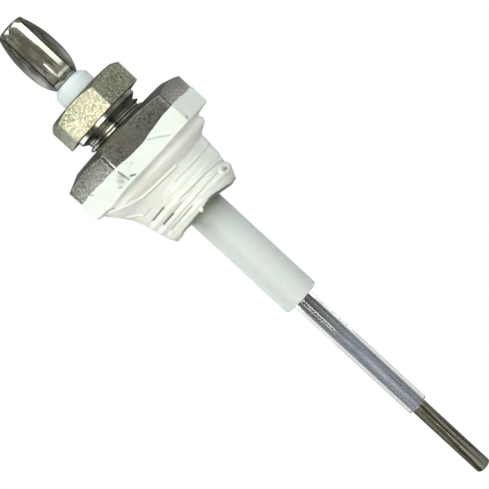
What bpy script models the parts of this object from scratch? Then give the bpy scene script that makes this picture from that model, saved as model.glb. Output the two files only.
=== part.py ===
"""Ignition electrode: an insulated rod with a spring terminal, held in a packed gland fitting.

Frame: Z is the axis, with the terminal up and the spark tip down. The origin is at the centre of the
seat face, where the hexagon of the fitting meets its threaded boss. The front of the part is -Y.
"""
import math

import bmesh
import bpy
from mathutils import Matrix

MM = 0.001

# Driving dimensions, in millimetres.
SNUG = 0.06               # radial gap between pieces that bear on each other
REST = 0.10               # axial gap between pieces that rest on each other

ROD_R = 1.20
ROD_TIP_Z = -65.4
TUBE_R = 1.65             # clear tube on the rod
TUBE_END_Z = -51.95
SLEEVE_R = 2.95           # insulating sleeve
SLEEVE_TOP_Z = 16.05
SLEEVE_END_Z = -28.85
SLEEVE_CHAMFER = 0.78

TERMINAL_BASE_R = 2.02    # barrel of the spring terminal
TERMINAL_MID_R = 3.18
TERMINAL_END_R = 2.27
TERMINAL_LENGTH = 10.45
TERMINAL_MID = 0.50       # place of the widest ring, as a share of the length
LEAF_WALL = 0.22
LEAF_WIDTH = 3.48         # the slots stand this far apart, centre to centre
SLOT_WIDTH = 0.16
SLOT_LAND = 0.45          # uncut ring at each end of the barrel
HEAD_HEIGHT = 0.50        # domed head that closes the barrel
HEAD_EDGE = 0.12          # straight edge under the dome

NUT_ACROSS_FLATS = 12.35
NUT_TOP_Z = 13.33
NUT_HEIGHT = 4.30
NUT_CORNER_ANGLE = 43.7   # azimuth of one corner, degrees
NUT_CHAMFER_R = 5.90
NUT_CHAMFER_ANGLE = 30.0
SHOULDER_R = 5.27
SHOULDER_HEIGHT = 0.90
NUT_THREAD_R = 4.95       # M10 x 1, outside
NUT_THREAD_ROOT_R = 4.42
NUT_THREAD_PITCH = 1.0
NUT_THREAD_END_Z = 1.85

BODY_ACROSS_FLATS = 20.0
BODY_HEIGHT = 6.23
BODY_CORNER_ANGLE = 8.2
BODY_CHAMFER_R = 8.80
BODY_CHAMFER_ANGLE = 21.0

BOSS_LENGTH = 9.2         # R 1/4 taper thread, outside; the tape hangs over its end
BOSS_SMALL_END_R = 6.39
BOSS_TAPER = 1.0 / 32.0   # radius per unit of length
BOSS_THREAD_DEPTH = 0.86
BOSS_THREAD_PITCH = 1.337
BOSS_NECK = 0.9           # plain neck under the hexagon

THREAD_BORE_R = 5.05      # bore of the fitting round the nut's thread
THREAD_BORE_END_Z = -1.0
CHAMBER_R = 4.62          # packing chamber
CHAMBER_END_Z = -6.4
CHAMBER_SEAT_ANGLE = 40.0

WASHER_HEIGHT = 0.70
FOLLOWER_HEIGHT = 2.10
PACKING_RINGS = ("upper", "middle", "lower")
PACKING_RISE = 0.45       # height of the chevron
SEAT_RING_HEIGHT = 1.00

TAPE_EDGE_Z = 2.96        # the tape ends here on the hexagon
TAPE_WALL = 0.12
TAPE_END_Z = -10.55
TAPE_ROLL_R = 9.25        # thick roll against the seat face
TAPE_ROLL_Z = -1.15
TAPE_WAIST_R = 7.35
TAPE_WAIST_Z = -2.55
TAPE_WRAP_R = 7.42
TAPE_WRAP_END_Z = -9.65
TAPE_END_R = 6.10

ROUND_STEPS = 64
FINE_STEPS = 48
INNER_STEPS = 40

COLLECTION = bpy.data.collections.new("ignition_electrode")
CUTTERS = bpy.data.collections.new("cutters")


def clear_scene():
    for old in list(bpy.data.objects):
        bpy.data.objects.remove(old, do_unlink=True)
    for collection in (COLLECTION, CUTTERS):
        bpy.context.scene.collection.children.link(collection)


def make_material(name, colour, roughness, metallic=0.0):
    material = bpy.data.materials.new(name)
    material.use_nodes = True
    shader = material.node_tree.nodes["Principled BSDF"]
    shader.inputs["Base Color"].default_value = (*colour, 1.0)
    shader.inputs["Roughness"].default_value = roughness
    shader.inputs["Metallic"].default_value = metallic
    material.diffuse_color = (*colour, 1.0)
    return material


def add_object(name, mesh, material=None):
    """An object in the part's collection, or a cutter if it has no material."""
    obj = bpy.data.objects.new(name, mesh)
    if material is None:
        CUTTERS.objects.link(obj)
        obj.hide_render = True
        obj.display_type = "WIRE"
    else:
        COLLECTION.objects.link(obj)
        mesh.materials.append(material)
    return obj


def turned(name, outline, material=None, steps=FINE_STEPS, ring=False):
    """Turn an outline of (radius, height) about Z. It runs down the outer side.

    A ring's outline closes on itself. Any other outline starts and ends on the axis.
    """
    mesh = bpy.data.meshes.new(name)
    points = [(radius * MM, 0.0, height * MM) for radius, height in outline]
    edges = [(i, i + 1) for i in range(len(points) - 1)]
    if ring:
        edges.append((len(points) - 1, 0))
    mesh.from_pydata(points, edges, [])
    obj = add_object(name, mesh, material)
    screw = obj.modifiers.new("turn", "SCREW")
    screw.axis = "Z"
    screw.angle = math.tau
    screw.steps = steps
    screw.render_steps = steps
    screw.use_merge_vertices = True
    screw.merge_threshold = 0.000002
    return obj


def hexagon(name, across_flats, bottom, top, corner_angle, material=None):
    mesh = bpy.data.meshes.new(name)
    radius = across_flats / 2 / math.cos(math.pi / 6)
    form = bmesh.new()
    bmesh.ops.create_cone(form, cap_ends=True, segments=6, radius1=radius * MM, radius2=radius * MM,
                          depth=(top - bottom) * MM)
    # create_cone sets its first corner on +Y
    turn = math.radians(corner_angle - 90.0)
    bmesh.ops.rotate(form, verts=form.verts, matrix=Matrix.Rotation(turn, 3, "Z"))
    bmesh.ops.translate(form, verts=form.verts, vec=(0.0, 0.0, (top + bottom) / 2 * MM))
    form.to_mesh(mesh)
    form.free()
    return add_object(name, mesh, material)


def box(name, low, high):
    mesh = bpy.data.meshes.new(name)
    form = bmesh.new()
    bmesh.ops.create_cube(form, size=1.0)
    for axis in range(3):
        for vertex in form.verts:
            side = vertex.co[axis] + 0.5
            vertex.co[axis] = (low[axis] + side * (high[axis] - low[axis])) * MM
    form.to_mesh(mesh)
    form.free()
    return add_object(name, mesh)


def thread_ridge(name, top, bottom, pitch, crest, root, taper=0.0, steps_per_turn=20):
    """One closed helical ridge of a right-hand outside thread, to be joined to its core.

    crest and root are the radii at the bottom end, and both grow with height by the taper.
    """
    sunk = 0.2
    crest_half = 0.06 * pitch
    root_half = 0.44 * pitch
    count = max(2, round((top - bottom) / pitch * steps_per_turn))
    fade = steps_per_turn // 3
    form = bmesh.new()
    sections = []
    for i in range(count + 1):
        angle = math.tau * (i + 0.2) / steps_per_turn
        height = bottom + (top - bottom) * i / count
        strength = min(1.0, (min(i, count - i) + 0.4) / fade)
        widen = taper * (height - bottom)
        base_r = root + widen - sunk
        top_r = root + widen + (crest - root) * strength
        half = crest_half + (root_half - crest_half) * strength
        corners = ((base_r, half), (top_r, crest_half * strength), (top_r, -crest_half * strength),
                   (base_r, -half))
        sections.append([form.verts.new((radius * math.cos(angle) * MM, radius * math.sin(angle) * MM,
                                         (height + offset) * MM)) for radius, offset in corners])
    for near, far in zip(sections, sections[1:]):
        for i in range(4):
            j = (i + 1) % 4
            form.faces.new((near[i], near[j], far[j], far[i]))
    form.faces.new(sections[0][::-1])
    form.faces.new(sections[-1])
    bmesh.ops.recalc_face_normals(form, faces=form.faces)
    mesh = bpy.data.meshes.new(name)
    form.to_mesh(mesh)
    form.free()
    return add_object(name, mesh)


def combine(obj, operation, other):
    boolean = obj.modifiers.new(other.name, "BOOLEAN")
    boolean.operation = operation
    boolean.object = other
    boolean.solver = "EXACT"
    return obj


def smooth(obj, sharp_degrees=28.0):
    """Settle the modifiers into the mesh and shade its round sides smooth."""
    graph = bpy.context.evaluated_depsgraph_get()
    mesh = bpy.data.meshes.new_from_object(obj.evaluated_get(graph))
    obj.modifiers.clear()
    obj.data = mesh
    mesh.shade_smooth()
    mesh.set_sharp_from_angle(angle=math.radians(sharp_degrees))


def arc(centre, radius, start, end, count):
    """Points of (radius, height) on an arc, with its angles in degrees from the outward direction."""
    points = []
    for i in range(count + 1):
        angle = math.radians(start + (end - start) * i / count)
        points.append((centre[0] + radius * math.cos(angle), centre[1] + radius * math.sin(angle)))
    return points


def chamfer_form(name, top_radius, angle, bottom, top, outer):
    """A turned solid whose top edge is the cone that chamfers a hexagon's corners."""
    drop = (outer - top_radius) * math.tan(math.radians(angle))
    outline = [(0.0, top), (top_radius, top), (outer, top - drop), (outer, bottom - 1.0),
               (0.0, bottom - 1.0)]
    return turned(name, outline, steps=ROUND_STEPS)


def barrel_radius(height):
    """Outside radius of the terminal, where height runs from 0 at its base to 1 at its head."""
    if height < TERMINAL_MID:
        drop = (1.0 - height / TERMINAL_MID) ** 3.0
        return TERMINAL_MID_R - (TERMINAL_MID_R - TERMINAL_BASE_R) * drop
    drop = ((height - TERMINAL_MID) / (1.0 - TERMINAL_MID)) ** 2.0
    return TERMINAL_MID_R - (TERMINAL_MID_R - TERMINAL_END_R) * drop


def make_rod(material):
    top = SLEEVE_TOP_Z + 9.0
    outline = [(0.0, top), (ROD_R - 0.2, top), (ROD_R, top - 0.2)]
    outline += arc((ROD_R - 0.3, ROD_TIP_Z + 0.3), 0.3, 0.0, -90.0, 4)
    outline.append((0.0, ROD_TIP_Z))
    smooth(turned("electrode_rod", outline, material))


def make_tube(material):
    inner = ROD_R + SNUG
    top = SLEEVE_TOP_Z - 0.3
    outline = [(TUBE_R, top)]
    outline += arc((TUBE_R - 0.12, TUBE_END_Z + 0.12), 0.12, 0.0, -90.0, 3)
    outline += [(inner, TUBE_END_Z), (inner, top)]
    smooth(turned("clear_tube", outline, material, ring=True))


def make_sleeve(material):
    inner = TUBE_R + SNUG
    shoulder = SLEEVE_TOP_Z - SLEEVE_CHAMFER
    outline = [(inner, SLEEVE_TOP_Z), (SLEEVE_R - SLEEVE_CHAMFER, SLEEVE_TOP_Z),
               (SLEEVE_R - 0.12, shoulder + 0.12), (SLEEVE_R - 0.03, shoulder), (SLEEVE_R, shoulder - 0.12),
               (SLEEVE_R, SLEEVE_END_Z + 0.08), (SLEEVE_R - 0.08, SLEEVE_END_Z), (inner, SLEEVE_END_Z)]
    smooth(turned("insulator_sleeve", outline, material, steps=ROUND_STEPS, ring=True))


def make_terminal(material):
    base = SLEEVE_TOP_Z + REST
    head = base + TERMINAL_LENGTH
    rows = 12
    outside = [(barrel_radius(i / rows), base + TERMINAL_LENGTH * i / rows) for i in range(rows, -1, -1)]
    inside = [(radius - LEAF_WALL, height) for radius, height in reversed(outside)]
    spring = turned("terminal_spring", outside + inside, material, steps=INNER_STEPS, ring=True)
    for side, name in ((-1, "slot_left"), (1, "slot_right")):
        middle = side * LEAF_WIDTH / 2
        low = (middle - SLOT_WIDTH / 2, -5.0, base + SLOT_LAND)
        high = (middle + SLOT_WIDTH / 2, 5.0, head - SLOT_LAND)
        combine(spring, "DIFFERENCE", box(name, low, high))
    smooth(spring)

    bore = ROD_R + SNUG
    bore_top = SLEEVE_TOP_Z + 9.1
    base_land = TERMINAL_BASE_R - LEAF_WALL - SNUG
    head_land = TERMINAL_END_R - LEAF_WALL - SNUG
    flange = head + SNUG
    outline = [(0.0, flange + HEAD_HEIGHT)]
    for i in range(1, 7):
        angle = math.pi / 2 * i / 6
        rise = HEAD_EDGE + (HEAD_HEIGHT - HEAD_EDGE) * math.cos(angle)
        outline.append((TERMINAL_END_R * math.sin(angle), flange + rise))
    outline += [(TERMINAL_END_R, flange), (head_land, flange), (head_land, head - 0.9),
                (base_land, head - 1.6), (base_land, base), (bore, base), (bore, bore_top),
                (0.0, bore_top + 0.5)]
    smooth(turned("terminal_pin", outline, material))


def make_nut(material):
    bottom = NUT_TOP_Z - NUT_HEIGHT
    nut = hexagon("gland_nut", NUT_ACROSS_FLATS, bottom, NUT_TOP_Z, NUT_CORNER_ANGLE, material)
    corner = NUT_ACROSS_FLATS / math.sqrt(3)
    combine(nut, "INTERSECT", chamfer_form("nut_chamfer", NUT_CHAMFER_R, NUT_CHAMFER_ANGLE, bottom,
                                           NUT_TOP_Z, corner + 0.5))
    shoulder = bottom - SHOULDER_HEIGHT
    stem = [(0.0, bottom + 1.0), (SHOULDER_R, bottom + 1.0), (SHOULDER_R, shoulder + 0.35),
            (NUT_THREAD_ROOT_R + 0.15, shoulder), (NUT_THREAD_ROOT_R, shoulder - 0.15),
            (NUT_THREAD_ROOT_R, NUT_THREAD_END_Z + 0.4), (NUT_THREAD_ROOT_R - 0.4, NUT_THREAD_END_Z),
            (0.0, NUT_THREAD_END_Z)]
    combine(nut, "UNION", turned("nut_stem", stem))
    combine(nut, "UNION", thread_ridge("nut_thread", shoulder - 0.35, NUT_THREAD_END_Z + 0.85,
                                       NUT_THREAD_PITCH, NUT_THREAD_R, NUT_THREAD_ROOT_R))
    bore = SLEEVE_R + SNUG + 0.04
    cut = [(0.0, NUT_TOP_Z + 1.0), (bore + 1.2, NUT_TOP_Z + 1.0), (bore + 0.2, NUT_TOP_Z),
           (bore, NUT_TOP_Z - 0.2), (bore, NUT_THREAD_END_Z - 1.0), (0.0, NUT_THREAD_END_Z - 1.0)]
    combine(nut, "DIFFERENCE", turned("nut_bore", cut))
    smooth(nut)


def boss_radius(height):
    """Radius over the crests of the taper thread at a height."""
    return BOSS_SMALL_END_R + BOSS_TAPER * (height + BOSS_LENGTH)


def make_body(material):
    body = hexagon("body_fitting", BODY_ACROSS_FLATS, 0.0, BODY_HEIGHT, BODY_CORNER_ANGLE, material)
    corner = BODY_ACROSS_FLATS / math.sqrt(3)
    combine(body, "INTERSECT", chamfer_form("body_chamfer", BODY_CHAMFER_R, BODY_CHAMFER_ANGLE, 0.0,
                                            BODY_HEIGHT, corner + 0.5))
    depth = BOSS_THREAD_DEPTH
    end = -BOSS_LENGTH
    core = [(0.0, 1.0), (boss_radius(0.0) - depth, 1.0), (boss_radius(0.0) - depth, 0.0),
            (boss_radius(end) - depth, end + 0.3), (boss_radius(end) - depth - 0.3, end), (0.0, end)]
    combine(body, "UNION", turned("boss_core", core, steps=INNER_STEPS))
    thread_bottom = end + 0.85
    combine(body, "UNION", thread_ridge("boss_thread", -BOSS_NECK, thread_bottom, BOSS_THREAD_PITCH,
                                        boss_radius(thread_bottom), boss_radius(thread_bottom) - depth,
                                        BOSS_TAPER))
    bore = SLEEVE_R + SNUG + 0.04
    drop = (CHAMBER_R - bore) * math.tan(math.radians(CHAMBER_SEAT_ANGLE))
    cut = [(0.0, BODY_HEIGHT + 1.0), (THREAD_BORE_R + 0.3, BODY_HEIGHT + 1.0),
           (THREAD_BORE_R + 0.3, BODY_HEIGHT), (THREAD_BORE_R, BODY_HEIGHT - 0.3),
           (THREAD_BORE_R, THREAD_BORE_END_Z), (CHAMBER_R, THREAD_BORE_END_Z - 0.2),
           (CHAMBER_R, CHAMBER_END_Z), (bore, CHAMBER_END_Z - drop), (bore, end - 1.0), (0.0, end - 1.0)]
    combine(body, "DIFFERENCE", turned("body_bore", cut))
    smooth(body)


def chevron_ring(name, bottom, height, material, top_rise=0.0, bottom_rise=0.0):
    """A ring in the packing chamber. A face that rises is a chevron, highest at its middle."""
    inner = SLEEVE_R + SNUG
    outer = CHAMBER_R - SNUG
    middle = (inner + outer) / 2
    top = bottom + height
    outline = [(inner, top), (middle, top + top_rise), (outer, top), (outer, bottom),
               (middle, bottom + bottom_rise), (inner, bottom)]
    smooth(turned(name, outline, material, steps=INNER_STEPS, ring=True))


def make_gland_rings(packing, metal):
    """Everything between the nut and the chamber's seat, from the top down."""
    inner = SLEEVE_R + SNUG
    washer_top = NUT_THREAD_END_Z - REST
    washer = [(inner, washer_top), (THREAD_BORE_R - 0.1, washer_top),
              (THREAD_BORE_R - 0.1, washer_top - WASHER_HEIGHT), (inner, washer_top - WASHER_HEIGHT)]
    smooth(turned("thrust_washer", washer, metal, steps=INNER_STEPS, ring=True))

    outer = CHAMBER_R - SNUG
    flange_top = washer_top - WASHER_HEIGHT - REST
    flange_bottom = flange_top - 0.8
    bottom = flange_top - FOLLOWER_HEIGHT
    middle = (inner + outer) / 2
    follower = [(inner, flange_top), (THREAD_BORE_R - 0.1, flange_top), (THREAD_BORE_R - 0.1, flange_bottom),
                (outer, flange_bottom), (outer, bottom), (middle, bottom + PACKING_RISE), (inner, bottom)]
    smooth(turned("gland_follower", follower, metal, steps=INNER_STEPS, ring=True))

    drop = (outer - inner) * math.tan(math.radians(CHAMBER_SEAT_ANGLE))
    seat_top = CHAMBER_END_Z + SEAT_RING_HEIGHT
    seat = [(inner, seat_top), (middle, seat_top + PACKING_RISE), (outer, seat_top),
            (outer, CHAMBER_END_Z + REST), (inner, CHAMBER_END_Z + REST - drop)]
    smooth(turned("packing_seat_ring", seat, metal, steps=INNER_STEPS, ring=True))

    count = len(PACKING_RINGS)
    pitch = (bottom - seat_top) / count
    for i, name in enumerate(PACKING_RINGS):
        low = bottom - (i + 1) * pitch + REST / 2
        chevron_ring("packing_ring_" + name, low, pitch - REST, packing, PACKING_RISE, PACKING_RISE)


def make_tape(material):
    """Sealing tape over the lower half of the hexagon and the whole boss, as one plain skin."""
    skin = BODY_ACROSS_FLATS + 2 * (SNUG + TAPE_WALL)
    tape = hexagon("thread_tape", skin, -0.5, TAPE_EDGE_Z, BODY_CORNER_ANGLE, material)
    roll = arc((TAPE_ROLL_R - 1.15, TAPE_ROLL_Z), 1.15, 70.0, -60.0, 6)
    wrap = [(0.0, 1.0), (TAPE_ROLL_R - 1.0, 1.0)] + roll
    wrap += [(TAPE_WAIST_R, TAPE_WAIST_Z), (TAPE_WRAP_R, -4.4), (boss_radius(-8.0) + 0.35, -8.0),
             (boss_radius(TAPE_WRAP_END_Z) + 0.15, TAPE_WRAP_END_Z), (TAPE_END_R, TAPE_END_Z),
             (0.0, TAPE_END_Z)]
    combine(tape, "UNION", turned("tape_wrap", wrap))
    combine(tape, "DIFFERENCE", hexagon("tape_hex_space", BODY_ACROSS_FLATS + 2 * SNUG, -REST,
                                        TAPE_EDGE_Z + 1.0, BODY_CORNER_ANGLE))
    space = [(0.0, 0.5), (boss_radius(0.5) + SNUG, 0.5), (boss_radius(-BOSS_LENGTH) + SNUG, -BOSS_LENGTH),
             (TAPE_END_R - 0.35, TAPE_END_Z - 0.5), (0.0, TAPE_END_Z - 0.5)]
    combine(tape, "DIFFERENCE", turned("tape_boss_space", space))
    smooth(tape)


def main():
    clear_scene()
    steel = make_material("fitting_steel", (0.33, 0.32, 0.30), 0.42, 1.0)
    plated = make_material("nickel_plate", (0.52, 0.50, 0.46), 0.18, 1.0)
    rod_steel = make_material("rod_steel", (0.26, 0.24, 0.20), 0.35, 1.0)
    brass = make_material("ring_brass", (0.62, 0.47, 0.22), 0.30, 1.0)
    sleeve_plastic = make_material("white_ptfe", (0.80, 0.86, 0.84), 0.40)
    clear_plastic = make_material("clear_tube_plastic", (0.66, 0.70, 0.72), 0.15)
    packing = make_material("packing_ptfe", (0.85, 0.84, 0.78), 0.55)
    tape = make_material("tape_ptfe", (0.90, 0.90, 0.86), 0.60)
    make_rod(rod_steel)
    make_tube(clear_plastic)
    make_sleeve(sleeve_plastic)
    make_terminal(plated)
    make_nut(steel)
    make_body(steel)
    make_gland_rings(packing, brass)
    make_tape(tape)


main()
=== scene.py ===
"""The looks of the ignition electrode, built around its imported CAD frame.

The axis is Z, with the terminal up, and the front is -Y. Sizes are in millimetres until a mesh is made;
lamps and the floor are placed in metres. An azimuth is in degrees from +X, so 270 is the front.
"""
import math

import bmesh
import bpy
import numpy as np
from mathutils import Matrix, Vector


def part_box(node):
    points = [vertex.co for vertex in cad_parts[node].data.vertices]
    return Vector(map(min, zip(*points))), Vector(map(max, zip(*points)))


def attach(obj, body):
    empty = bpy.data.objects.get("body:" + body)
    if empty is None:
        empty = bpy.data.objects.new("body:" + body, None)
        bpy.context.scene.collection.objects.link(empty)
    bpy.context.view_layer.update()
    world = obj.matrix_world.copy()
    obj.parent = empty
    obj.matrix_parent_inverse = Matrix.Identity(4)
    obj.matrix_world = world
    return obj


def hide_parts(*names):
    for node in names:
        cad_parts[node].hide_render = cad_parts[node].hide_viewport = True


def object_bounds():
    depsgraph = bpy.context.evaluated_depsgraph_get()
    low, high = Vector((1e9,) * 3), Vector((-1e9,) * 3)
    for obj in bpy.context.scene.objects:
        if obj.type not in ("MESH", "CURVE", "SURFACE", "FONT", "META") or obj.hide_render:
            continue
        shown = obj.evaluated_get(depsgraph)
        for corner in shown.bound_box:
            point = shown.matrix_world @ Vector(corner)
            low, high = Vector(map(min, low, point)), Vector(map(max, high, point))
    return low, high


MM = 0.001
WELD = 1e-7                # metres: points nearer than this are one

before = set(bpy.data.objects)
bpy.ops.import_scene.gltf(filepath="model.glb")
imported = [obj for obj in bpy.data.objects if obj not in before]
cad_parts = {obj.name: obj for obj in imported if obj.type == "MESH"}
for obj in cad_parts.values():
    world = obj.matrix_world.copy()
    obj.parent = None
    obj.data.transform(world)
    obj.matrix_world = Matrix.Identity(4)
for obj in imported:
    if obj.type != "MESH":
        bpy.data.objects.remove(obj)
cad_low, cad_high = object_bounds()


# ---------------------------------------------------------------- sizes, in part read from the frame

def low_mm(node):
    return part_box(node)[0] / MM


def high_mm(node):
    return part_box(node)[1] / MM


SLEEVE_R = high_mm("insulator_sleeve").x
SLEEVE_END = low_mm("insulator_sleeve").z
TUBE_END = low_mm("clear_tube").z
BORE_R = SLEEVE_R + 0.06   # of the nut and the fitting

NUT_CORNER = 43.7          # azimuth of a corner of the nut, degrees
NUT_FLATS = 12.35
NUT_EDGE = 0.15            # radius of its corners
NUT_TOP = high_mm("gland_nut").z
NUT_END = low_mm("gland_nut").z
NUT_HEIGHT = 4.30          # of the hexagon
NUT_CHAMFER_R = 5.90
NUT_SINK_R = BORE_R + 0.35         # the countersink clears the terminal's leaves when the nut is up
NUT_SINK_DEPTH = 0.70
SHOULDER_HEIGHT = 0.90
SHOULDER_R = 5.27
NUT_CREST_R = 4.95
NUT_ROOT_R = 4.42
NUT_PITCH = 1.0

BODY_CORNER = 8.2
BODY_FLATS = 20.0
BODY_EDGE = 0.75           # radius of the worn corners
BODY_TOP = high_mm("body_fitting").z
BODY_CHAMFER_R = 8.80
MOUTH_R = 5.05             # the nut's thread enters here
MOUTH_END = -1.0
CHAMBER_R = 4.62           # round the packing
CHAMBER_TOP = -1.3
SEAT_TOP = -6.4            # the conical seat under the packing
SEAT_END = -8.2
BOSS_END = low_mm("body_fitting").z
BOSS_CREST_R = 6.39
BOSS_ROOT_R = 5.53
BOSS_PITCH = 1.337
BOSS_TAPER = 1.0 / 32.0    # what the radius gains for each millimetre up

TERMINAL_BASE = low_mm("terminal_spring").z
TERMINAL_TOP = high_mm("terminal_spring").z
TERMINAL_R = high_mm("terminal_spring").x
TERMINAL_BASE_R = 2.02
TERMINAL_HEAD_R = 2.27
SPRING_WALL = 0.20
SLOT_HALF = 0.075          # half the width of a slot between two leaves
LEAF_HALF = 1.74           # half the width of a broad leaf
LEAF_BEND = 0.85           # it is bent down beyond this distance from its centre line

TAPE_EDGE = high_mm("thread_tape").z
TAPE_END = low_mm("thread_tape").z


# ---------------------------------------------------------------- camera, light and floor

FOCAL_PX = 1400.0          # focal length, in widths of one pixel of a 489 pixel frame
FRAME_PX = 489.0
PX_PER_MM = 7.033          # scale where the lens axis meets the electrode
AXIS_TILT = math.radians(5.2)      # the tip lies farther from the lens than the terminal
ROLL = math.radians(42.7)          # the electrode points this far below the horizontal
AIM_X = 0.07               # where the lens axis meets the electrode
AIM_Z = -17.77
LIT_Z = -0.018             # metres: the height on the axis that all lamps point at

# name, degrees off the front to the side and up, distance, size, brightness and colour
LIGHTS = (
    ("key", 13.0, -5.5, 0.50, (0.125, 0.21), 9.5, (1.0, 0.98, 0.94)),
    ("warm_key", 31.5, -5.5, 0.50, (0.115, 0.21), 9.0, (1.0, 0.95, 0.80)),
    ("side", -50.0, 2.0, 0.50, (0.17, 0.60), 2.3, (0.97, 0.99, 1.0)),
    ("left", 116.0, -3.2, 0.60, (0.56, 0.14), 4.6, (0.92, 0.97, 1.0)),
    ("right", -123.0, -3.2, 0.60, (0.46, 0.14), 2.3, (0.97, 0.98, 1.0)),
    ("above_left", 46.0, 42.0, 0.50, (0.36, 0.36), 3.6, (0.97, 1.0, 0.99)),
    ("above_right", -46.0, 42.0, 0.50, (0.36, 0.36), 2.9, (0.97, 1.0, 0.99)),
    ("below", 0.0, -60.0, 0.50, (0.40, 0.24), 4.2, (0.98, 1.0, 0.93)),
)
FLOOR_DROP = 0.06          # metres under the electrode
FLOOR_HALF = 6.0           # metres


def make_camera():
    """The photograph's view: the electrode lies across the frame, its terminal at the upper left."""
    data = bpy.data.cameras.new("camera")
    data.sensor_width = 36.0
    data.lens = data.sensor_width * FOCAL_PX / FRAME_PX
    data.clip_start = 0.01
    data.clip_end = 20.0
    camera = bpy.data.objects.new("camera", data)
    bpy.context.scene.collection.objects.link(camera)
    along = Vector((0.0, -math.sin(AXIS_TILT), -math.cos(AXIS_TILT)))
    across = Vector((1.0, 0.0, 0.0))
    back = Vector((0.0, -math.cos(AXIS_TILT), math.sin(AXIS_TILT)))
    right = math.cos(ROLL) * along + math.sin(ROLL) * across
    up = -math.sin(ROLL) * along + math.cos(ROLL) * across
    place = Vector((AIM_X, 0.0, AIM_Z)) * MM + back * (FOCAL_PX / PX_PER_MM * MM)
    matrix = Matrix((right, up, back)).transposed().to_4x4()
    matrix.translation = place
    camera.matrix_world = matrix
    bpy.context.scene.camera = camera


def area_light(name, direction, distance, size, brightness, colour):
    """A lamp in metres that points at the electrode. Its power grows with its area."""
    data = bpy.data.lights.new(name, "AREA")
    data.shape = "RECTANGLE"
    data.size, data.size_y = size
    data.energy = brightness * math.pi * size[0] * size[1]
    data.color = colour
    light = bpy.data.objects.new(name, data)
    bpy.context.scene.collection.objects.link(light)
    towards = Vector(direction).normalized()
    light.location = towards * distance + Vector((0.0, 0.0, LIT_Z))
    light.rotation_mode = "QUATERNION"
    light.rotation_quaternion = towards.to_track_quat("Z", "Y")


def from_front(sideways, upwards):
    """A direction that many degrees off the front: sideways towards -X, upwards towards +Z."""
    a, b = math.radians(sideways), math.radians(upwards)
    return (-math.sin(a) * math.cos(b), -math.cos(a) * math.cos(b), math.sin(b))


def seen_directly(tree):
    """1 for what the lens sees, also through the clear tube."""
    path = tree.nodes.new("ShaderNodeLightPath")
    either = tree.nodes.new("ShaderNodeMath")
    either.operation = "MAXIMUM"
    tree.links.new(path.outputs["Is Camera Ray"], either.inputs[0])
    tree.links.new(path.outputs["Is Transmission Ray"], either.inputs[1])
    return either.outputs[0]


def room_colour(tree):
    """A grey room, slightly warmer in front of the electrode than behind it."""
    place = tree.nodes.new("ShaderNodeTexCoord")
    split = tree.nodes.new("ShaderNodeSeparateXYZ")
    ramp = tree.nodes.new("ShaderNodeValToRGB")
    spread = tree.nodes.new("ShaderNodeMapRange")
    spread.inputs["From Min"].default_value = -1.0
    spread.inputs["From Max"].default_value = 1.0
    tree.links.new(place.outputs["Generated"], split.inputs[0])
    tree.links.new(split.outputs["Y"], spread.inputs["Value"])
    tree.links.new(spread.outputs["Result"], ramp.inputs["Fac"])
    ramp.color_ramp.elements[0].position = 0.20
    ramp.color_ramp.elements[0].color = (0.23, 0.23, 0.20, 1.0)
    ramp.color_ramp.elements[1].position = 0.95
    ramp.color_ramp.elements[1].color = (0.25, 0.255, 0.255, 1.0)
    return ramp.outputs["Color"]


def make_world():
    """White for the lens, and a darker room in the reflections."""
    world = bpy.data.worlds.new("studio")
    bpy.context.scene.world = world
    world.use_nodes = True
    tree = world.node_tree
    tree.nodes.clear()
    output = tree.nodes.new("ShaderNodeOutputWorld")
    mix = tree.nodes.new("ShaderNodeMixShader")
    seen = tree.nodes.new("ShaderNodeBackground")
    room = tree.nodes.new("ShaderNodeBackground")
    seen.inputs["Color"].default_value = (1.0, 1.0, 1.0, 1.0)
    seen.inputs["Strength"].default_value = 1.0
    tree.links.new(room_colour(tree), room.inputs["Color"])
    room.inputs["Strength"].default_value = 1.0
    tree.links.new(seen_directly(tree), mix.inputs["Fac"])
    tree.links.new(room.outputs[0], mix.inputs[1])
    tree.links.new(seen.outputs[0], mix.inputs[2])
    tree.links.new(mix.outputs[0], output.inputs["Surface"])


def floor_paint():
    """It glows for the lens only, so that it shows no shadow and adds little light of its own."""
    paint = bpy.data.materials.new("floor_paint")
    paint.use_nodes = True
    tree = paint.node_tree
    shader = tree.nodes["Principled BSDF"]
    shader.inputs["Base Color"].default_value = (0.30, 0.30, 0.29, 1.0)
    shader.inputs["Roughness"].default_value = 0.9
    glow = tree.nodes.new("ShaderNodeEmission")
    mix = tree.nodes.new("ShaderNodeMixShader")
    tree.links.new(seen_directly(tree), mix.inputs["Fac"])
    tree.links.new(shader.outputs[0], mix.inputs[1])
    tree.links.new(glow.outputs[0], mix.inputs[2])
    tree.links.new(mix.outputs[0], tree.nodes["Material Output"].inputs["Surface"])
    return paint


def make_stage():
    mesh = bpy.data.meshes.new("floor")
    half, height = FLOOR_HALF, cad_low.z - FLOOR_DROP
    corners = [(-half, -half, height), (half, -half, height), (half, half, height), (-half, half, height)]
    mesh.from_pydata(corners, [], [(0, 1, 2, 3)])
    mesh.materials.append(floor_paint())
    floor = bpy.data.objects.new("floor", mesh)
    bpy.context.scene.collection.objects.link(floor)
    for name, sideways, upwards, distance, size, brightness, colour in LIGHTS:
        area_light(name, from_front(sideways, upwards), distance, size, brightness, colour)


# ---------------------------------------------------------------- materials

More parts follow.
